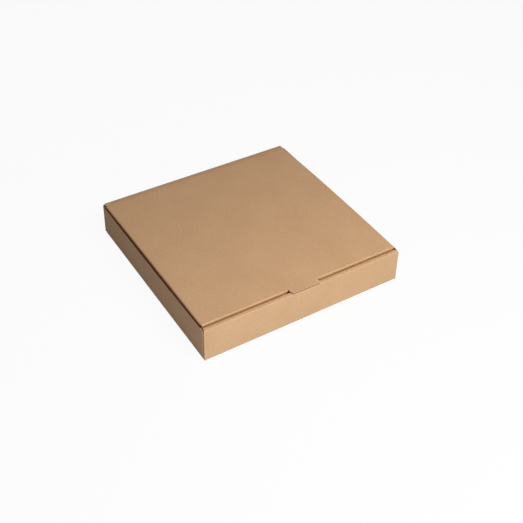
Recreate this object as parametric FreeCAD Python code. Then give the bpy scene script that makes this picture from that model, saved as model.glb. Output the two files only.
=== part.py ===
import FreeCAD, Part
import math
import os

from FreeCAD import Vector

# A closed pizza box: one die-cut blank of thin corrugated board, folded up without glue.
# The blank is one sheet. It is divided only along the crease that the lid swings on, so the
# model has two pieces: the tray, and the lid with its flaps.
#
# Millimetres. X runs left to right, Y runs front to back with the front at -Y, and Z is up.
# The origin is the middle of the underside. The outside of the board is called its face.

# The board and its creases
BOARD = 1.6            # thickness of the board
FOLD_INSIDE = 0.6      # inside radius of every crease that is folded square
SLIP = 0.3             # free play between layers that lie on each other

# The tray
TRAY_WIDTH = 305.0
TRAY_DEPTH = 300.0
FRONT_HEIGHT = 50.0    # height of the rolled front wall
FRONT_THICK = 6.4      # the rolled front wall, from its face to the face of its inner panel
SIDE_HEIGHT = 49.2     # height of the raw top edge of the side walls
ROLL_INSET = 2.5       # how much narrower the inner panel is than the front wall, at each end
TOP_ROOM = 0.5         # free height over the corner flaps, under the rolled top
TOP_CHAMFER = 4.0      # length of the slope at each end of a side wall's top edge
CORNER_FLAP = 56.0     # length of the flaps that turn in from the side walls
CORNER_FLAP_TAPER = 4.0
CORNER_FLAP_ROUND = 7.0
LOCK_WIDTH = 30.0      # tabs under the inner front panel, which lock into slots in the base
LOCK_TAPER = 1.5
LOCK_CENTRE = 78.0     # from the middle of the box to the middle of a tab
LOCK_RECESS = 0.2      # the tabs stop this far above the underside

# The lid
LID_SEAT = 0.2         # free height between the rolled front wall and the thumb tab over it
LID_SIDE_GAP = 0.6     # between a lid side flap and the side wall it slides behind
TUCK_GAP = 2.6         # between the lid's tuck flap and the inner front panel
TUCK_FLAP = 36.0       # depth of the tuck flap, from the top of the lid
TUCK_END_GAP = 1.4     # between the ends of the tuck flap and the side flaps
TUCK_TAPER = 6.0
TUCK_ROUND = 10.0
SIDE_FLAP = 36.0       # depth of the side flaps, from the top of the lid
SIDE_FLAP_FRONT_GAP = 1.1
SIDE_FLAP_BACK_GAP = 4.0
SIDE_FLAP_TAPER = 11.0
SIDE_FLAP_ROUND = 12.0
THUMB_ROOT = 47.0      # width of the thumb tab where it leaves the lid
THUMB_TIP = 42.0       # width of the thumb tab at the face of the front wall
THUMB_ROUND = 1.8
THUMB_CUT = 0.6        # width of the die cut beside the root of the thumb tab

# The crease that the lid swings on. It is on the outside of the board, where the liner bends.
HINGE_SLIT = 0.3       # gap between the two pieces at the crease
HINGE_PROUD = 0.15     # how far the axis lies outside the face of the fold
HINGE_END = 0.5        # how much shorter the crease is than the lid, at each end
HINGE_NOTCH = 0.5      # cut between the crease and the side flap

X = Vector(1, 0, 0)
Y = Vector(0, 1, 0)
Z = Vector(0, 0, 1)

# Worked out from the sizes above
FOLD_OUTSIDE = FOLD_INSIDE + BOARD
HALF_WIDTH = TRAY_WIDTH / 2
HALF_DEPTH = TRAY_DEPTH / 2
BASE_X = HALF_WIDTH - FOLD_OUTSIDE                      # where the flat of the base ends
BASE_Y = HALF_DEPTH - FOLD_OUTSIDE
CORNER_FACE = HALF_DEPTH - BOARD - SLIP                 # face of the corner flaps
SIDE_Y = CORNER_FACE - FOLD_OUTSIDE                     # where the flat of a side wall ends
CORNER_TOP = FRONT_HEIGHT - BOARD - TOP_ROOM
INNER_FACE = -HALF_DEPTH + FRONT_THICK                  # face of the inner front panel
INNER_X = HALF_WIDTH - ROLL_INSET
LID_TOP = FRONT_HEIGHT + LID_SEAT + BOARD
LID_X = HALF_WIDTH - BOARD - LID_SIDE_GAP               # face of the lid's side flaps
TUCK_FACE = INNER_FACE + TUCK_GAP
LID_FLAT_X = LID_X - FOLD_OUTSIDE
LID_FRONT = TUCK_FACE + FOLD_OUTSIDE                    # where the flat of the lid ends
FOLD_Z = LID_TOP - FOLD_OUTSIDE                         # height of the lid's fold centres
CREASE_X = LID_X - HINGE_END
SIDE_FLAP_BACK = BASE_Y - SIDE_FLAP_BACK_GAP
SIDE_FLAP_FRONT = LID_FRONT + SIDE_FLAP_FRONT_GAP - BOARD / 2


def outline(corners, at, across, along):
    """A closed wire through corners (u, v, radius), with each corner rounded to its radius."""
    points = [at + across * u + along * v for u, v, _ in corners]
    edges = []
    starts, ends = [], []
    for i, point in enumerate(points):
        radius = corners[i][2]
        to_last = (points[i - 1] - point).normalize()
        to_next = (points[(i + 1) % len(points)] - point).normalize()
        if radius == 0:
            starts.append(point)
            ends.append(point)
            continue
        half = to_last.getAngle(to_next) / 2
        reach = radius / math.tan(half)
        bisector = (to_last + to_next).normalize()
        middle = point + bisector * (radius / math.sin(half) - radius)
        starts.append(point + to_last * reach)
        ends.append(point + to_next * reach)
        edges.append(Part.Arc(starts[i], middle, ends[i]).toShape())
    for i, end in enumerate(ends):
        start = starts[(i + 1) % len(points)]
        if not end.isEqual(start, 1e-6):
            edges.append(Part.LineSegment(end, start).toShape())
    return Part.Wire(Part.__sortEdges__(edges))


def panel(corners, at, across, along, inward):
    """A flat panel: its outline drawn on the face of the board, and the board behind it."""
    return Part.Face(outline(corners, at, across, along)).extrude(inward * BOARD)


def square(low_u, high_u, low_v, high_v):
    """The four corners of a plain panel."""
    return [(low_u, low_v, 0), (high_u, low_v, 0), (high_u, high_v, 0), (low_u, high_v, 0)]


def fold(centre, side_a, side_b, length, share=(0.0, 1.0)):
    """Board bent square about centre, from facing side_a to facing side_b, run along length.
    A share of (0, 0.5) is only the half beside side_a."""

    def facing(part):
        turn = part * math.pi / 2
        return side_a * math.cos(turn) + side_b * math.sin(turn)

    first, middle, last = (facing(p) for p in (share[0], sum(share) / 2, share[1]))
    outer = [centre + d * FOLD_OUTSIDE for d in (first, middle, last)]
    inner = [centre + d * FOLD_INSIDE for d in (last, middle, first)]
    edges = [
        Part.Arc(*outer).toShape(),
        Part.LineSegment(outer[2], inner[0]).toShape(),
        Part.Arc(*inner).toShape(),
        Part.LineSegment(inner[2], outer[0]).toShape(),
    ]
    return Part.Face(Part.Wire(edges)).extrude(length)


def join(pieces):
    """One solid from pieces that meet face to face."""
    return pieces[0].fuse(pieces[1:]).removeSplitter()


def mirrored(shape):
    return shape.mirror(Vector(0, 0, 0), X)


def base():
    """The floor of the tray, with the slots that the front panel locks into."""
    floor = panel(square(-BASE_X, BASE_X, -BASE_Y, BASE_Y), Vector(), X, Y, Z)
    slot_x = LOCK_WIDTH / 2 + SLIP
    for middle in (-LOCK_CENTRE, LOCK_CENTRE):
        slot = square(
            middle - slot_x, middle + slot_x, INNER_FACE - BOARD - SLIP, INNER_FACE + SLIP
        )
        floor = floor.cut(panel(slot, Vector(), X, Y, Z))
    return floor


def base_folds():
    """The four creases round the floor, with their centre lines FOLD_OUTSIDE above the underside."""
    corner = Vector(-BASE_X, -BASE_Y, FOLD_OUTSIDE)
    front = fold(corner, -Z, -Y, X * 2 * BASE_X)
    back = fold(corner + Y * 2 * BASE_Y, -Z, Y, X * 2 * BASE_X)
    left = fold(Vector(-BASE_X, -SIDE_Y, FOLD_OUTSIDE), -Z, -X, Y * 2 * SIDE_Y)
    return [front, back, left, mirrored(left)]


def front_wall():
    """The front wall: an outer panel, a rolled top, and an inner panel that locks into the base."""
    foot = SLIP
    low, high = FOLD_OUTSIDE, FRONT_HEIGHT - FOLD_OUTSIDE
    outer = panel(
        [
            (-HALF_WIDTH, foot, 0), (-BASE_X, foot, 0), (-BASE_X, low, 0), (BASE_X, low, 0),
            (BASE_X, foot, 0), (HALF_WIDTH, foot, 0), (HALF_WIDTH, high, 0), (-HALF_WIDTH, high, 0),
        ],
        Y * -HALF_DEPTH, X, Z, Y,
    )
    return [outer, rolled_top(high), inner_front_panel(high)]


def rolled_top(centre_z):
    """Two creases with a narrow flat between them. It narrows towards the inner panel."""
    outer_y, inner_y = -HALF_DEPTH + FOLD_OUTSIDE, INNER_FACE - FOLD_OUTSIDE
    run = X * TRAY_WIDTH
    roll = join([
        fold(Vector(-HALF_WIDTH, outer_y, centre_z), -Y, Z, run),
        panel(square(-HALF_WIDTH, HALF_WIDTH, outer_y, inner_y), Z * FRONT_HEIGHT, X, Y, -Z),
        fold(Vector(-HALF_WIDTH, inner_y, centre_z), Z, Y, run),
    ])
    plan = outline(
        [
            (-HALF_WIDTH, -HALF_DEPTH, 0), (HALF_WIDTH, -HALF_DEPTH, 0),
            (INNER_X, INNER_FACE, 0), (-INNER_X, INNER_FACE, 0),
        ],
        Vector(), X, Y,
    )
    return roll.common(Part.Face(plan).extrude(Z * FRONT_HEIGHT))


def inner_front_panel(high):
    """The panel that hangs from the rolled top inside the tray, with a locking tab at each side."""
    low = BOARD + SLIP
    half = LOCK_WIDTH / 2
    corners = [(-INNER_X, high, 0), (-INNER_X, low, 0)]
    for middle in (-LOCK_CENTRE, LOCK_CENTRE):
        corners += [
            (middle - half, low, 0), (middle - half + LOCK_TAPER, LOCK_RECESS, 0),
            (middle + half - LOCK_TAPER, LOCK_RECESS, 0), (middle + half, low, 0),
        ]
    corners += [(INNER_X, low, 0), (INNER_X, high, 0)]
    return panel(corners, Y * INNER_FACE, X, Z, -Y)


def back_wall():
    """The back wall, up to the tray's half of the crease that the lid swings on."""
    foot, low = SLIP, FOLD_OUTSIDE
    wall = panel(
        [
            (-HALF_WIDTH, foot, 0), (-BASE_X, foot, 0), (-BASE_X, low, 0), (BASE_X, low, 0),
            (BASE_X, foot, 0), (HALF_WIDTH, foot, 0), (HALF_WIDTH, SIDE_HEIGHT, 0),
            (CREASE_X, SIDE_HEIGHT, 0), (CREASE_X, FOLD_Z, 0), (-CREASE_X, FOLD_Z, 0),
            (-CREASE_X, SIDE_HEIGHT, 0), (-HALF_WIDTH, SIDE_HEIGHT, 0),
        ],
        Y * HALF_DEPTH, X, Z, -Y,
    )
    return [wall, hinge_fold(0.0, 0.5 - hinge_slit_share())]


def hinge_slit_share():
    """Half of the hinge slit, as a share of the quarter turn of the fold it is cut through."""
    return HINGE_SLIT / 2 / (FOLD_OUTSIDE * math.pi / 2)


def hinge_fold(low_share, high_share):
    centre = Vector(-CREASE_X, BASE_Y, FOLD_Z)
    return fold(centre, Y, Z, X * 2 * CREASE_X, (low_share, high_share))


def left_wall():
    """A side wall, with the flaps that turn in at both ends and lie inside the front and back."""
    wall = panel(
        [
            (-SIDE_Y, FOLD_OUTSIDE, 0), (SIDE_Y, FOLD_OUTSIDE, 0), (SIDE_Y, CORNER_TOP, 0),
            (SIDE_Y - TOP_CHAMFER, SIDE_HEIGHT, 0), (-SIDE_Y + TOP_CHAMFER, SIDE_HEIGHT, 0),
            (-SIDE_Y, CORNER_TOP, 0),
        ],
        X * -HALF_WIDTH, Y, Z, X,
    )
    pieces = [wall]
    for outward in (-Y, Y):
        centre = Vector(-BASE_X, 0, FOLD_OUTSIDE) + outward * SIDE_Y
        pieces.append(fold(centre, -X, outward, Z * (CORNER_TOP - FOLD_OUTSIDE)))
        pieces.append(corner_flap(outward))
    return pieces


def corner_flap(outward):
    low, high = FOLD_OUTSIDE, CORNER_TOP
    end = -BASE_X + CORNER_FLAP
    corners = [
        (-BASE_X, low, 0), (end, low + CORNER_FLAP_TAPER, CORNER_FLAP_ROUND),
        (end, high - CORNER_FLAP_TAPER, CORNER_FLAP_ROUND), (-BASE_X, high, 0),
    ]
    return panel(corners, outward * CORNER_FACE, X, Z, -outward)


def tray():
    left = left_wall()
    right = [mirrored(piece) for piece in left]
    return join([base(), *base_folds(), *front_wall(), *back_wall(), *left, *right])


def lid_top():
    """The flat of the lid, with the thumb tab that reaches over the rolled front wall."""
    root, tip = THUMB_ROOT / 2, THUMB_TIP / 2
    ear = SIDE_FLAP_BACK + HINGE_NOTCH
    return panel(
        [
            (-CREASE_X, BASE_Y, 0), (-CREASE_X, ear, 0), (-LID_FLAT_X, ear, 0),
            (-LID_FLAT_X, LID_FRONT, 0), (-root, LID_FRONT, 0), (-tip, -HALF_DEPTH, THUMB_ROUND),
            (tip, -HALF_DEPTH, THUMB_ROUND), (root, LID_FRONT, 0), (LID_FLAT_X, LID_FRONT, 0),
            (LID_FLAT_X, ear, 0), (CREASE_X, ear, 0), (CREASE_X, BASE_Y, 0),
        ],
        Z * LID_TOP, X, Y, -Z,
    )


def tuck_flap():
    """The flap that tucks in behind the front wall. The thumb tab is cut out of its top."""
    end = LID_X - BOARD - TUCK_END_GAP
    low = LID_TOP - TUCK_FLAP
    thumb_low = LID_TOP - (LID_FRONT + HALF_DEPTH)
    root, tip = THUMB_ROOT / 2 + THUMB_CUT, THUMB_TIP / 2 + THUMB_CUT
    flap = panel(
        [
            (-end, FOLD_Z, 0), (-end + TUCK_TAPER, low, TUCK_ROUND),
            (end - TUCK_TAPER, low, TUCK_ROUND), (end, FOLD_Z, 0),
            (root, FOLD_Z, 0), (tip, thumb_low, 0), (-tip, thumb_low, 0), (-root, FOLD_Z, 0),
        ],
        Y * TUCK_FACE, X, Z, Y,
    )
    left_fold = fold(Vector(-end, LID_FRONT, FOLD_Z), Z, -Y, X * (end - root))
    return [flap, left_fold, mirrored(left_fold)]


def left_side_flap():
    """The flap that slides down behind a side wall, with its crease."""
    front, back = SIDE_FLAP_FRONT, SIDE_FLAP_BACK
    low = LID_TOP - SIDE_FLAP
    flap = panel(
        [
            (front, FOLD_Z, 0), (front + SIDE_FLAP_TAPER, low, SIDE_FLAP_ROUND),
            (back - SIDE_FLAP_TAPER, low, SIDE_FLAP_ROUND), (back, FOLD_Z, 0),
        ],
        X * -LID_X, Y, Z, X,
    )
    crease = fold(Vector(-LID_FLAT_X, front, FOLD_Z), Z, -X, Y * (back - front))
    return [flap, crease]


def lid():
    left = left_side_flap()
    right = [mirrored(piece) for piece in left]
    return join([
        lid_top(), hinge_fold(0.5 + hinge_slit_share(), 1.0), *tuck_flap(), *left, *right
    ])


def hinge_axis():
    """A point on the axis that the lid turns about."""
    reach = (FOLD_OUTSIDE + HINGE_PROUD) * math.sqrt(0.5)
    return Vector(0, BASE_Y + reach, FOLD_Z + reach)


os.makedirs("parts", exist_ok=True)
for name, solid in (("tray", tray()), ("lid", lid())):
    solid.exportStep(f"parts/{name}.step")
    box = solid.BoundBox
    print(
        name, len(solid.Solids), "solid,", solid.isValid(), f"{solid.Volume:.0f} mm3,",
        f"X {box.XMin:.1f} to {box.XMax:.1f}, Y {box.YMin:.1f} to {box.YMax:.1f},",
        f"Z {box.ZMin:.1f} to {box.ZMax:.1f}",
    )
axis = hinge_axis()
print(f"lid axis at y {axis.y:.3f}, z {axis.z:.3f}")
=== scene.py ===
import math

import bmesh
import bpy
from mathutils import Matrix, Vector


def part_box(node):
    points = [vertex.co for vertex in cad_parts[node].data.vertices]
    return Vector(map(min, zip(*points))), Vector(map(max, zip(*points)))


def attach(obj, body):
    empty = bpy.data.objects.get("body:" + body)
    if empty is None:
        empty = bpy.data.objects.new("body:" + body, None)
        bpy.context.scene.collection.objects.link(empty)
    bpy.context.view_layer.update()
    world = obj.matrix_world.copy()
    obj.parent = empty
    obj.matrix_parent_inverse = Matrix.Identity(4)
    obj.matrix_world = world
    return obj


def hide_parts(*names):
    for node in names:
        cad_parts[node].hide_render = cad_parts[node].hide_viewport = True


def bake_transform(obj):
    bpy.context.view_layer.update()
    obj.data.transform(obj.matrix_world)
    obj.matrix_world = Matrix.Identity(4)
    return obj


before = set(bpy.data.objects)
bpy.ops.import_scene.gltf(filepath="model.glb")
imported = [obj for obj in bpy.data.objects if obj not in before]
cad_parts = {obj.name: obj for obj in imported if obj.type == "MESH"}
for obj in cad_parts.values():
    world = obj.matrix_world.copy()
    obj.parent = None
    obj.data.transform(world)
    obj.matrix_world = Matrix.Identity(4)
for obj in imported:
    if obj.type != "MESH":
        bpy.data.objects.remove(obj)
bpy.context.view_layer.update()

# The tray: the lower part of one die-cut blank of thin corrugated board, creased and folded up
# without glue. The front wall is rolled over the flaps that turn in from the side walls, and two
# tabs lock it into slots in the floor. The blank is laid out flat here, and then folded.
mm = 0.001
NEAR = 1e-6  # metres: places closer together than this count as the same
SQUARE = math.radians(90)
X, Y, Z = Vector((1, 0, 0)), Vector((0, 1, 0)), Vector((0, 0, 1))

BOARD = 1.6 * mm
PLAY = 0.3 * mm  # where one part of the folded blank slides past another
FOLD_OUTSIDE = 2.2 * mm  # a fold's radius on its outside
STRIPS = 6  # the flat strips that make up a fold
STRIP = 2 * FOLD_OUTSIDE * math.sin(SQUARE / STRIPS / 2)
FOLD_LENGTH = STRIPS * STRIP
TIGHTNESS = 3.4  # of a well pressed fold: 2 would be round, and more is closer to a square edge

tray_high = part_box("tray")[1]
half_width, half_depth = tray_high.x, tray_high.y
base_x, base_y = half_width - FOLD_OUTSIDE, half_depth - FOLD_OUTSIDE
front_top, side_top, corner_top, hinge_z = 50.0 * mm, 49.2 * mm, 47.9 * mm, 49.6 * mm

left_top, right_top = 50.4 * mm, 48.8 * mm  # the blank is folded up a little unevenly
wall_faces = {-1: left_top - FOLD_OUTSIDE, 1: right_top - FOLD_OUTSIDE}
wall_slope = 4.0 * mm  # the length in which a side wall's top comes down to its corner flaps
side_x, side_y = base_x + FOLD_LENGTH, half_depth - BOARD - PLAY - FOLD_OUTSIDE
corner_face, corner_flap = corner_top - FOLD_OUTSIDE, 56.0 * mm
corner_taper, corner_round = 4.0 * mm, 7.0 * mm

front_start = back_start = base_y + FOLD_LENGTH
roll_start = front_start + front_top - 2 * FOLD_OUTSIDE
roll_flat = 2.0 * mm
roll_depth = 2 * FOLD_OUTSIDE + roll_flat
second_crease = roll_start + FOLD_LENGTH + roll_flat
inner_inset, inner_foot = 1.3 * mm, 1.9 * mm  # the inner panel, in from the ends and off the ground
inner_x = half_width - inner_inset
inner_start = second_crease + FOLD_LENGTH
inner_end = inner_start + front_top - FOLD_OUTSIDE - inner_foot
lock_centre, lock_half = 78.0 * mm, 15.0 * mm
lock_bevel, lock_length = 1.5 * mm, 1.7 * mm
slot_half = lock_half + PLAY
slot_low = half_depth - roll_depth - PLAY
slot_high = half_depth - roll_depth + BOARD + PLAY

ear_drop = 0.3 * mm  # the back wall's outer ends are lower than its middle
back_wall = back_start + side_top - FOLD_OUTSIDE
back_ear = back_wall - ear_drop
hinge_end = back_wall + hinge_z - side_top
hinge_notch = 0.5 * mm
crease_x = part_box("lid")[1].x - hinge_notch


def blank_part(bm, corners):
    """A part of the flat blank, from its corners in the order round its edge."""
    bm.faces.new([bm.verts.new((x, y, 0)) for x, y in corners])


def rectangle(x0, x1, y0, y1):
    return [(x0, y0), (x1, y0), (x1, y1), (x0, y1)]


def mirrored(places):
    """These places on both sides of the blank's middle line."""
    return [side * place for side in (-1, 1) for place in places]


def round_corners(bm, spots, radius):
    """Rounds the corners of the flat blank that lie at these spots."""
    corners = [v for v in bm.verts if any((v.co.xy - Vector(s)).length < NEAR for s in spots)]
    bmesh.ops.bevel(
        bm, geom=corners, offset=radius, offset_type="OFFSET", segments=7, profile=0.5,
        affect="VERTICES", material=-1, clamp_overlap=True,
    )


def cut_across(bm, direction, places):
    """Cuts the flat blank's faces along straight lines, so that they can bend there."""
    for place in places:
        bmesh.ops.bisect_plane(
            bm, geom=bm.verts[:] + bm.edges[:] + bm.faces[:], dist=NEAR / 10,
            plane_co=direction * place, plane_no=direction,
        )


def crease_lines(start):
    """The lines between the strips of a fold that begins here."""
    return [start + k * STRIP for k in range(STRIPS + 1)]


def face_all(bm, up):
    """Makes all faces of the flat blank look up, or else down."""
    bm.normal_update()
    for f in bm.faces:
        if (f.normal.z > 0) != up:
            f.normal_flip()


def mark_blank(bm):
    """Notes each point's place on the flat blank: across the flutes, along them, and how far
    through the board it lies, from 0 on the outside face to 1 on the inside."""
    layer = bm.verts.layers.float_vector.new("blank")
    for v in bm.verts:
        v[layer] = (v.co.x, v.co.y, 0)
    return layer


def fold(bm, layer, start, outward, angle, chosen):
    """Folds what is chosen and lies beyond the crease, a small turn at each of its lines. The
    outermost line goes first, so that the lines further in are still where the blank has them."""
    axis = outward.cross(Z)
    for k in range(STRIPS, -1, -1):
        line = start + outward * (k * STRIP)
        reach = line.dot(outward) - NEAR
        beyond = [v for v in bm.verts if v[layer].dot(outward) > reach and chosen(v[layer])]
        turn = angle / STRIPS * (0.5 if k in (0, STRIPS) else 1)
        bmesh.ops.rotate(bm, cent=line, matrix=Matrix.Rotation(turn, 3, axis), verts=beyond)


def crush(v, y, z):
    """Makes the round fold about this line tighter at its middle, as a well pressed crease is."""
    off_y, off_z = (v.co.y - y) / FOLD_OUTSIDE, (v.co.z - z) / FOLD_OUTSIDE
    tighter = (abs(off_y) ** TIGHTNESS + abs(off_z) ** TIGHTNESS) ** (-1 / TIGHTNESS)
    v.co.y, v.co.z = y + off_y * FOLD_OUTSIDE * tighter, z + off_z * FOLD_OUTSIDE * tighter


def clamp(value):
    return min(max(value, 0), 1)


RIM_ROUND = 0.15 * mm
LINER = 0.12 * mm
HOLLOW_DEPTH = 1.4 * mm
HOLLOW_SIDES = (0.35, 0.65)  # how far through the board the hollow's floor seems to reach


def raw_faces(bm, layer):
    return [f for f in bm.faces if len({round(v[layer].z) for v in f.verts}) == 2]


def thicken(bm, layer):
    """Gives the folded blank the board's thickness, inwards, and softens its raw cut edges. Where
    the cut follows the flutes, the hollow between the two liners lies open."""
    outside = set(bm.verts)
    bmesh.ops.solidify(bm, geom=bm.faces[:], thickness=BOARD)
    for v in bm.verts:
        if v not in outside:
            v[layer] = (v[layer].x, v[layer].y, 1)
    rims = {
        e for f in raw_faces(bm, layer) for e in f.edges
        if len({round(v[layer].z) for v in e.verts}) == 1
    }
    bmesh.ops.bevel(
        bm, geom=list(rims), offset=RIM_ROUND, offset_type="OFFSET", segments=2, profile=0.5,
        affect="EDGES", material=-1, clamp_overlap=True,
    )
    open_cuts = [
        f for f in raw_faces(bm, layer)
        if max(v[layer].x for v in f.verts) - min(v[layer].x for v in f.verts) < 0.5 * BOARD
        and f.calc_perimeter() > 5 * BOARD
    ]
    bmesh.ops.inset_region(
        bm, faces=open_cuts, thickness=LINER, depth=-HOLLOW_DEPTH, use_even_offset=True,
    )
    for v in {v for f in open_cuts for v in f.verts}:
        v[layer] = (v[layer].x, v[layer].y, HOLLOW_SIDES[round(v[layer].z)])
    for f in bm.faces:
        f.smooth = True


tray_mesh = bmesh.new()
blank_part(tray_mesh, rectangle(-base_x, base_x, -base_y, base_y))
blank_part(tray_mesh, rectangle(-base_x, base_x, -front_start, -base_y))
blank_part(tray_mesh, rectangle(-base_x, base_x, base_y, back_start))
blank_part(tray_mesh, [
    (-half_width, -front_start), (-base_x, -front_start), (base_x, -front_start),
    (half_width, -front_start), (half_width, -roll_start), (-half_width, -roll_start),
])
blank_part(tray_mesh, [
    (-half_width, -roll_start), (half_width, -roll_start),
    (inner_x, -inner_start), (-inner_x, -inner_start),
])
inner_panel = [(-inner_x, -inner_start), (-inner_x, -inner_end)]
for middle in (-lock_centre, lock_centre):
    inner_panel += [
        (middle - lock_half, -inner_end),
        (middle - lock_half + lock_bevel, -inner_end - lock_length),
        (middle + lock_half - lock_bevel, -inner_end - lock_length),
        (middle + lock_half, -inner_end),
    ]
inner_panel += [(inner_x, -inner_end), (inner_x, -inner_start)]
blank_part(tray_mesh, inner_panel)
blank_part(tray_mesh, [
    (-half_width, back_start), (-base_x, back_start), (base_x, back_start),
    (half_width, back_start), (half_width, back_ear), (crease_x, back_ear),
    (crease_x, hinge_end), (-crease_x, hinge_end), (-crease_x, back_ear), (-half_width, back_ear),
])
for side, wall_face in wall_faces.items():
    foot, corner, top = (side * (side_x + height) for height in (0, corner_face, wall_face))
    blank_part(tray_mesh, rectangle(side * base_x, foot, -side_y, side_y))
    blank_part(tray_mesh, [
        (foot, -side_y), (foot, side_y), (corner, side_y),
        (top, side_y - wall_slope), (top, -side_y + wall_slope), (corner, -side_y),
    ])
    for end in (-1, 1):
        edge, near = end * side_y, end * (side_y + FOLD_LENGTH)
        far = near + end * corner_flap
        blank_part(tray_mesh, [(foot, edge), (corner, edge), (corner, near), (foot, near)])
        flap_tips = [(corner - side * corner_taper, far), (foot + side * corner_taper, far)]
        blank_part(tray_mesh, [(foot, near), (corner, near), *flap_tips])
        round_corners(tray_mesh, flap_tips, corner_round)
bmesh.ops.remove_doubles(tray_mesh, verts=tray_mesh.verts[:], dist=NEAR)

# Cuts where the blank bends, and more between them: the walls lean and bow a little, and the
# front wall's top ends are rounded.
SPAN, WALL_SPAN = 15.25 * mm, 11 * mm
even = [k * SPAN for k in range(-13, 14)]
cut_across(tray_mesh, X, even + mirrored(crease_lines(base_x)))
cut_across(tray_mesh, Y, even + mirrored(crease_lines(base_y)))
cut_across(tray_mesh, Y, mirrored(crease_lines(side_y)))
cut_across(tray_mesh, Y, [-y for y in crease_lines(roll_start)])
cut_across(tray_mesh, Y, [-y for y in crease_lines(second_crease)])
cut_across(tray_mesh, Y, [-front_start - k * WALL_SPAN for k in range(1, 9)])
cut_across(tray_mesh, Y, [-roll_start + 1.3 * mm, -roll_start + 3 * mm])
cut_across(tray_mesh, Y, [back_start + k * WALL_SPAN for k in range(1, 5)])
cut_across(tray_mesh, X, mirrored([lock_centre - slot_half, lock_centre + slot_half]))
cut_across(tray_mesh, Y, [-slot_low, -slot_high])
holes = [
    f for f in tray_mesh.faces
    if abs(abs(f.calc_center_median().x) - lock_centre) < slot_half
    and slot_low < -f.calc_center_median().y < slot_high
]
bmesh.ops.delete(tray_mesh, geom=holes, context="FACES")
face_all(tray_mesh, up=False)
blank = mark_blank(tray_mesh)


def on_wide_panels(spot):
    """Whether this spot of the blank is on the floor, or on the front or back wall."""
    return abs(spot.x) < half_width + NEAR


for side in (-1, 1):
    for end in (-1, 1):
        fold(tray_mesh, blank, Y * end * side_y, Y * end, SQUARE,
             lambda spot: spot.x * side > side_x - NEAR)
    fold(tray_mesh, blank, X * side * base_x, X * side, SQUARE,
         lambda spot: abs(spot.y) < side_y + NEAR or spot.x * side > side_x - NEAR)
fold(tray_mesh, blank, -Y * second_crease, -Y, SQUARE, on_wide_panels)
fold(tray_mesh, blank, -Y * roll_start, -Y, SQUARE, on_wide_panels)
fold(tray_mesh, blank, -Y * base_y, -Y, SQUARE, on_wide_panels)
fold(tray_mesh, blank, Y * base_y, Y, SQUARE, on_wide_panels)

# The front and back walls are wider than the floor: beyond its creases they reach down past its
# sides, nearly to the ground.
ear_foot, ear_round = 0.8 * mm, 0.6 * mm
for end in (-1, 1):
    lower_edges = [
        e for e in tray_mesh.edges if e.is_boundary
        and all(abs(v[blank].y - end * back_start) < NEAR for v in e.verts)
        and all(base_x - NEAR < abs(v[blank].x) < half_width + NEAR for v in e.verts)
    ]
    made = bmesh.ops.extrude_edge_only(tray_mesh, edges=lower_edges)["geom"]
    for v in [g for g in made if isinstance(g, bmesh.types.BMVert)]:
        v[blank] = (v[blank].x, v[blank].y - end * (FOLD_OUTSIDE - ear_foot), 0)
        v.co.z = ear_foot
        v.co.x -= math.copysign(ear_round, v.co.x) * (abs(v.co.x) - base_x) / FOLD_OUTSIDE

# Both creases of the roll are pressed tight, and its ends are rounded. The side walls lean out at
# their tops, most at their middles. The tray's foot reaches forward, and to the left.
roll_end_height, roll_end_round = 4.2 * mm, 0.7 * mm
LEANS = {-1: (1.9, 0.2, -0.8), 1: (1.3, 0.1, -0.3)}  # mm at the middle, its slant and its bow
foot_forward, foot_forward_left = 1.0 * mm, 2.0 * mm
foot_left, foot_left_front = 0.6 * mm, 0.9 * mm
for v in tray_mesh.verts:
    side = math.copysign(1, v.co.x)
    if abs(v[blank].x) < half_width + NEAR:
        for start, further_back in ((roll_start, 0), (second_crease, roll_flat)):
            if -NEAR < -v[blank].y - start < FOLD_LENGTH + NEAR:
                crush(v, FOLD_OUTSIDE + further_back - half_depth, front_top - FOLD_OUTSIDE)
    above_round = v.co.z - (front_top - roll_end_height)
    if abs(v[blank].x) > side_x - NEAR:
        middle, slant, bow = LEANS[side]
        deep = v.co.y / half_depth
        v.co.x += side * (middle + slant * deep + bow * deep ** 2) * mm * v.co.z / side_top
    elif v[blank].y < -front_start and above_round > 0 and abs(v.co.x) > inner_x - NEAR:
        v.co.x -= side * roll_end_round * (above_round / roll_end_height) ** 2
    low = clamp(1 - v.co.z / front_top)
    to_left, to_front = 0.5 - v.co.x / half_width / 2, 0.5 - v.co.y / half_depth / 2
    v.co.y -= (foot_forward + foot_forward_left * to_left) * low * to_front
    v.co.x -= (foot_left + foot_left_front * to_front) * low * to_left
thicken(tray_mesh, blank)


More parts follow.
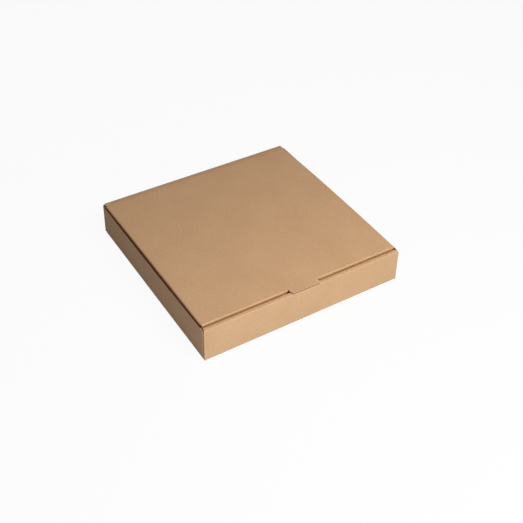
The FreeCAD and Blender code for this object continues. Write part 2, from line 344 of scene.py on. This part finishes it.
class Shade:
    """A socket of a material. Arithmetic on it adds Math nodes, and node() adds any other node."""

    def __init__(self, tree, socket=None):
        self.tree = tree
        self.socket = socket

    def node(self, kind, settings=None, inputs=None, output=0):
        made = self.tree.nodes.new("ShaderNode" + kind)
        for name, value in (settings or {}).items():
            setattr(made, name, value)
        for name, value in (inputs or {}).items():
            if isinstance(value, Shade):
                self.tree.links.new(value.socket, made.inputs[name])
            else:
                made.inputs[name].default_value = value
        return Shade(self.tree, made.outputs[output] if made.outputs else None)

    def math(self, operation, *values):
        return self.node("Math", {"operation": operation}, dict(enumerate(values)))

    def __add__(self, other):
        return self.math("ADD", self, other)

    def __sub__(self, other):
        return self.math("SUBTRACT", self, other)

    def __rsub__(self, other):
        return self.math("SUBTRACT", other, self)

    def __mul__(self, other):
        return self.math("MULTIPLY", self, other)

    def __truediv__(self, other):
        return self.math("DIVIDE", self, other)

    def __abs__(self):
        return self.math("ABSOLUTE", self)

    __radd__ = __add__
    __rmul__ = __mul__

    def band(self, low, high):
        """0 below low, 1 above high, and a smooth step between them."""
        return self.node(
            "MapRange", {"interpolation_type": "SMOOTHSTEP"},
            {"Value": self, "From Min": low, "From Max": high},
        )

    def blend(self, first, second, kind="MIX"):
        """The first colour where this is 0, and the second one over it where this is 1."""
        return self.node(
            "Mix", {"data_type": "RGBA", "blend_type": kind}, {0: self, 6: first, 7: second},
            output=2,
        )


def colour(red, green, blue):
    """A colour written as it looks on a screen, from 0 to 255."""
    return (*((c / 255 / 12.92) if c < 11 else ((c / 255 + 0.055) / 1.055) ** 2.4
              for c in (red, green, blue)), 1)


kraft = bpy.data.materials.new("kraft_board")
kraft.use_nodes = True
surface = kraft.node_tree.nodes["Principled BSDF"]
shade = Shade(kraft.node_tree)
blank_place = shade.node("Attribute", {"attribute_name": "blank"}, output=1)
across, along, through = (
    shade.node("SeparateXYZ", inputs={0: blank_place}, output=n) for n in range(3)
)


def noise(x, y, detail, roughness=0.5, seed=0.0):
    """Noise on the flat blank, with features about x wide across the flutes and y along them."""
    spot = shade.node("CombineXYZ", inputs={0: across / x, 1: along / y, 2: through + seed})
    return shade.node("TexNoise", inputs={
        "Vector": spot, "Scale": 1.0, "Detail": detail, "Roughness": roughness,
    })


# The liner: two close tones of brown, mixed by clouds, mottle, fibres and flecks.
flute_pitch = 3.3 * mm
wave = shade.math("SINE", across * (2 * math.pi / flute_pitch))
clouds = noise(45 * mm, 60 * mm, 3.0) - 0.5
hue_clouds = noise(22 * mm, 16 * mm, 3.0, seed=43.0).band(0.3, 0.7)
mottle = noise(3.2 * mm, 2.4 * mm, 3.0, 0.65, seed=7.0) - 0.5
fibres = noise(2.6 * mm, 0.45 * mm, 2.0, 0.6, seed=19.0) - 0.5
flecks = noise(1.9 * mm, 1.2 * mm, 1.5, seed=31.0)
dark_flecks = flecks.band(0.69, 0.75)
light_flecks = 1 - flecks.band(0.24, 0.30)
tone = (
    0.5 + clouds * 0.3 + mottle * 0.7 + fibres * 0.55 + wave * 0.02
    - dark_flecks * 0.9 + light_flecks * 0.6
)
dark_board = hue_clouds.blend(colour(161, 127, 91), colour(160, 128, 89))
light_board = hue_clouds.blend(colour(201, 168, 130), colour(200, 169, 127))
board_colour = tone.blend(dark_board, light_board)

# The cut edge: a liner at each side, the wave of the medium between them, and hollows painted dark
# as shade, darker on their side towards the board's inside face.
wave_reach = 0.27  # of the board's thickness, to either side of its middle
from_middle = through - 0.5
from_medium = from_middle - wave * wave_reach
medium = 1 - abs(from_medium).band(0.04, 0.09)
liners = abs(from_middle).band(0.36, 0.41)
# Painted shade: the hollows get a deep brown that stands in for the shade inside the open flutes.
hollow_and_shade = (1 - medium) * (1 - liners) * (from_medium.band(-0.04, 0.04) * 0.5 + 0.5)
colour_with_hollow_shade = (hollow_and_shade * 0.97).blend(board_colour, colour(80, 31, 6))
relief = shade.node("Bump", inputs={
    "Height": mottle * 0.6 + fibres * 0.5 + wave * 0.08 - hollow_and_shade * 3.0,
    "Distance": 0.12 * mm, "Strength": 0.8,
})
for name, value in (
    ("Base Color", colour_with_hollow_shade), ("Roughness", 0.86 + mottle * 0.1), ("Normal", relief),
):
    kraft.node_tree.links.new(value.socket, surface.inputs[name])
surface.inputs["Specular IOR Level"].default_value = 0.25

SHARP = math.radians(35)


def finish_board(name, bm, body=None):
    """Makes an object of board from its bmesh, with sharp raw edges and the kraft finish."""
    mesh = bpy.data.meshes.new(name)
    bm.to_mesh(mesh)
    bm.free()
    mesh.set_sharp_from_angle(angle=SHARP)
    mesh.materials.append(kraft)
    board = bpy.data.objects.new(name, mesh)
    bpy.context.scene.collection.objects.link(board)
    if body:
        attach(board, body)
    return board


tray_board = finish_board("tray_board", tray_mesh, "tray")
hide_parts("tray")

# The lid: the upper part of the same blank. Its side flaps and its front flap are folded down and
# tuck inside the walls. The thumb tab is cut out of the front flap, stays level with the lid when
# that flap is folded, and reaches over the rolled front wall.
lid_low, lid_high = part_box("lid")
lid_top = lid_high.z
flat_x = lid_high.x - FOLD_OUTSIDE
flap_x = flat_x + FOLD_LENGTH
flap_drop = hinge_z - lid_low.z
flap_taper, flap_round = 11 * mm, 12 * mm
tuck_gap, tuck_end_gap, back_gap = 2.6 * mm, 0.7 * mm, 4.0 * mm
lid_front = -half_depth + roll_depth + tuck_gap + FOLD_OUTSIDE
side_front, side_back = lid_front + PLAY, base_y - back_gap
ear = side_back + hinge_notch
tuck_end = lid_high.x - tuck_end_gap
tuck_top = lid_front - FOLD_LENGTH
tuck_tip = tuck_top - flap_drop
tuck_taper, tuck_round = 6 * mm, 10 * mm
thumb_root, thumb_tip, thumb_cut, thumb_round = 23.5 * mm, 21.0 * mm, 0.15 * mm, 1.2 * mm
thumb_low = tuck_top - (lid_front + half_depth - FOLD_OUTSIDE)
cut_x = thumb_root + thumb_cut
NOTCH = ((2.4 * mm, 1 * mm), (1.6 * mm, 3.5 * mm))  # out from the tab's root, and down


def and_back(corners):
    """These corners, and then their mirror images in the reverse order."""
    return corners + [(-x, y) for x, y in reversed(corners)]


lid_mesh = bmesh.new()
blank_part(lid_mesh, and_back([
    (-crease_x, base_y), (-crease_x, ear), (-flat_x, ear), (-flat_x, side_back),
    (-flat_x, side_front), (-flat_x, lid_front), (-cut_x, lid_front), (-thumb_root, lid_front),
]))
thumb_corners = [(thumb_tip, -half_depth), (-thumb_tip, -half_depth)]
blank_part(lid_mesh, [(-thumb_root, lid_front), (thumb_root, lid_front), *thumb_corners])
round_corners(lid_mesh, thumb_corners, thumb_round)
for side in (-1, 1):
    blank_part(lid_mesh, [
        (side * cut_x, lid_front), (side * flat_x, lid_front), (side * tuck_end, lid_front),
        (side * tuck_end, tuck_top), (side * cut_x, tuck_top),
    ])
    blank_part(lid_mesh, [
        (side * flat_x, side_front), (side * flat_x, side_back),
        (side * flap_x, side_back), (side * flap_x, side_front),
    ])
    flap_tip = side * (flap_x + flap_drop)
    flap_tips = [(flap_tip, side_back - flap_taper), (flap_tip, side_front + flap_taper)]
    blank_part(lid_mesh, [(side * flap_x, side_front), (side * flap_x, side_back), *flap_tips])
    round_corners(lid_mesh, flap_tips, flap_round)
tuck_tips = [(-tuck_end + tuck_taper, tuck_tip), (tuck_end - tuck_taper, tuck_tip)]
blank_part(lid_mesh, [
    (-tuck_end, tuck_top), *tuck_tips, (tuck_end, tuck_top),
    *and_back([
        (cut_x, tuck_top), *((thumb_root + out, tuck_top - down) for out, down in NOTCH),
        (thumb_tip + thumb_cut, thumb_low),
    ]),
])
round_corners(lid_mesh, tuck_tips, tuck_round)
bmesh.ops.remove_doubles(lid_mesh, verts=lid_mesh.verts[:], dist=NEAR)
cut_across(lid_mesh, X, even + mirrored(crease_lines(flat_x)))
cut_across(lid_mesh, Y, even + [-y for y in crease_lines(-lid_front)])
cut_across(lid_mesh, Y, [tuck_top - k * mm for k in (1, 2, 3.5, 5.5, 8, 12, 18, 24, 30)])
face_all(lid_mesh, up=True)
cut_across(lid_mesh, X, mirrored([flap_x + k * mm for k in (2, 3.5, 6)]))
blank = mark_blank(lid_mesh)
for side in (-1, 1):
    fold(lid_mesh, blank, X * side * flat_x, X * side, -SQUARE,
         lambda spot: spot.y < side_back + NEAR)
fold(lid_mesh, blank, Y * lid_front, -Y, -SQUARE, lambda spot: (
    abs(spot.x) > thumb_root + thumb_cut / 2 or spot.y < -half_depth - NEAR))


def smooth_step(value):
    return clamp(value) ** 2 * (3 - 2 * clamp(value))


# The front fold is pressed tight, and the tuck flap hangs back in a curve, so that the lid can
# swing. The lid lies a little to the right, except along its crease and its left edge. The side
# flaps lean in, and the fold at the right bulges out over the wall, most at its middle.
tuck_radius = 280 * mm  # about the flap's distance from the lid's crease
lid_shift, shift_from, shift_over = 1.0 * mm, 140 * mm, 80 * mm
edge_out, edge_back_in, edge_width = 1.2 * mm, 0.5 * mm, 50 * mm
flap_lean, lean_over = 0.8 * mm, 10 * mm
bulge, bulge_inward, bulge_down = 2.2 * mm, 18 * mm, 3.6 * mm
bulge_start = flat_x - 16 * mm
for v in lid_mesh.verts:
    if tuck_top - NEAR < v[blank].y < lid_front - NEAR and v.co.z < -NEAR:
        crush(v, lid_front, -FOLD_OUTSIDE)
    if v[blank].y < tuck_top - NEAR and v.co.z < -FOLD_OUTSIDE:
        v.co.y += (v.co.z + FOLD_OUTSIDE) ** 2 / (2 * tuck_radius)
    ahead = smooth_step((shift_from - v.co.y) / shift_over)
    left = clamp(-v.co.x / edge_width - 2)
    v.co.x += lid_shift * ahead * (1 - left) + (edge_back_in * ahead - edge_out) * left
    beyond_fold = abs(v[blank].x) - flap_x
    v.co.x -= math.copysign(flap_lean, v.co.x) * clamp(beyond_fold / lean_over)
    if v[blank].x > bulge_start and v[blank].y > tuck_top:
        over = v[blank].x - (flat_x + FOLD_LENGTH / 2)
        nearness = 1 - abs(over) / (bulge_inward if over < 0 else bulge_down)
        middleness = clamp(1 - (v.co.y / half_depth) ** 2)
        v.co.x += bulge * smooth_step(nearness) * middleness ** 0.6
thicken(lid_mesh, blank)

# Where the lid's own origin, at its crease, comes along the whole blank.
lid_along = hinge_end + FOLD_LENGTH + base_y


def set_on_top(bm, layer):
    """Lifts a part that was folded down from the height 0 to the lid's top. Its places along the
    blank are counted on from the back wall's, so that the finish runs through."""
    bmesh.ops.translate(bm, vec=Z * lid_top, verts=bm.verts[:])
    for v in bm.verts:
        v[layer].y = lid_along - v[layer].y


def beside_fold(distance):
    """1 just beyond a fold, where the flap is darkened as painted shade, and less and less down the
    flap.
    """
    return (distance + 1 * mm).band(0, 1.5 * mm) * (1 - distance.band(3 * mm, 12 * mm))


set_on_top(lid_mesh, blank)
on_lid = (along - (lid_along - base_y)).band(0, 1 * mm)
beside_thumb = (abs(across) - thumb_root).band(0, 0.4 * mm)
# Painted shade, dark and warm: on the tuck flap just below the lid's front fold, in the groove
# behind the rolled front wall, and on the side flaps just below their folds, in the slits beside
# the side walls.
painted_fold_shade = (
    beside_fold(along - (lid_along - tuck_top)) * beside_thumb
    + beside_fold(abs(across) - flap_x) * on_lid
)
colour_with_fold_shade = painted_fold_shade.blend(colour_with_hollow_shade, (1, 0.84, 0.6, 1), "MULTIPLY")
kraft.node_tree.links.new(colour_with_fold_shade.socket, surface.inputs["Base Color"])
lid_board = finish_board("lid_board", lid_mesh, "lid")
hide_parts("lid")

# The crease between the back wall and the lid: a strip of the same board, crushed along its
# length. It is rounded over the back of the closed box.
crease_mesh = bmesh.new()
blank_part(crease_mesh, rectangle(-crease_x, crease_x, base_y, base_y + FOLD_LENGTH))
cut_across(crease_mesh, X, even)
cut_across(crease_mesh, Y, crease_lines(base_y))
face_all(crease_mesh, up=True)
blank = mark_blank(crease_mesh)
fold(crease_mesh, blank, Y * base_y, Y, -SQUARE, lambda spot: True)
thicken(crease_mesh, blank)
set_on_top(crease_mesh, blank)
crease_board = finish_board("crease_board", crease_mesh)
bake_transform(crease_board)

# The studio: a white floor just under the box and soft light from the front, with the
# photograph's camera. The floor and the sky look white, and give less light than they show.
floor_size, floor_drop = 12, 0.2 * mm
floor_mesh = bpy.data.meshes.new("floor")
floor_shape = bmesh.new()
bmesh.ops.create_grid(floor_shape, x_segments=1, y_segments=1, size=floor_size)
bmesh.ops.translate(floor_shape, vec=-Z * floor_drop, verts=floor_shape.verts[:])
floor_shape.to_mesh(floor_mesh)
floor_shape.free()
floor = bpy.data.objects.new("floor", floor_mesh)
bpy.context.scene.collection.objects.link(floor)


def seen_directly(nodes):
    """1 for rays of the camera, and of what mirrors or lets through, and 0 for rays of light."""
    return sum(
        nodes.node("LightPath", output=f"Is {ray} Ray")
        for ray in ("Camera", "Glossy", "Transmission")
    )


floor_glow = 0.94
paper = bpy.data.materials.new("floor")
paper.use_nodes = True
floor_mesh.materials.append(paper)
paper.node_tree.nodes.clear()
sweep = Shade(paper.node_tree)
matte = sweep.node("BsdfDiffuse", inputs={"Color": (0.6, 0.6, 0.6, 1)})
glow = sweep.node("Emission", inputs={"Color": (1, 1, 1, 1), "Strength": 1.0})
sweep.node("OutputMaterial", inputs={
    "Surface": sweep.node("MixShader", inputs={
        0: seen_directly(sweep) * floor_glow, 1: matte, 2: glow,
    }),
})

sky_light = 0.16
world = bpy.data.worlds.new("studio")
bpy.context.scene.world = world
world.use_nodes = True
world.node_tree.nodes.clear()
sky = Shade(world.node_tree)
shown = seen_directly(sky)
sky.node("OutputWorld", inputs={
    "Surface": sky.node("Background", inputs={
        "Color": shown.blend((0.88, 0.86, 1, 1), (1, 1, 1, 1)),
        "Strength": shown * (1 - sky_light) + sky_light,
    }),
})


def lamp(name, place, size, energy, tint):
    """A square soft lamp that faces the box."""
    light = bpy.data.objects.new(name, bpy.data.lights.new(name, "AREA"))
    light.data.size = size
    light.data.energy = energy
    light.data.color = tint
    turn = Vector(place).to_track_quat("Z", "Y").to_matrix().to_4x4()
    light.matrix_world = Matrix.Translation(place) @ turn
    bpy.context.scene.collection.objects.link(light)


lamp("near", (0.3, -0.9, 0.5), 0.5, 2.75, (0.89, 1, 0.97))
lamp("over", (0.12, -0.6, 0.95), 0.7, 11.9, (1, 0.89, 0.88))
lamp("low", (-0.4, -0.95, 0.22), 0.4, 3.4, (0.81, 0.82, 1))

distance, shift_right, shift_down = 1.3258, 0.021258, 0.010221
azimuth, elevation, roll = (math.radians(a) for a in (-32.542, 40.689, 1.400))
back = Vector((
    math.sin(azimuth) * math.cos(elevation), -math.cos(azimuth) * math.cos(elevation),
    math.sin(elevation),
))
level_right = (-back).cross(Z).normalized()
level_up = level_right.cross(-back)
right = level_right * math.cos(roll) + level_up * math.sin(roll)
up = level_up * math.cos(roll) - level_right * math.sin(roll)
camera = bpy.data.objects.new("camera", bpy.data.cameras.new("camera"))
bpy.context.scene.collection.objects.link(camera)
camera.matrix_world = Matrix.Translation(
    back * distance + right * shift_right - up * shift_down
) @ Matrix((right, up, back)).transposed().to_4x4()
camera.data.lens = 63.274
bpy.context.scene.camera = camera
bpy.context.scene.view_settings.view_transform = "Standard"
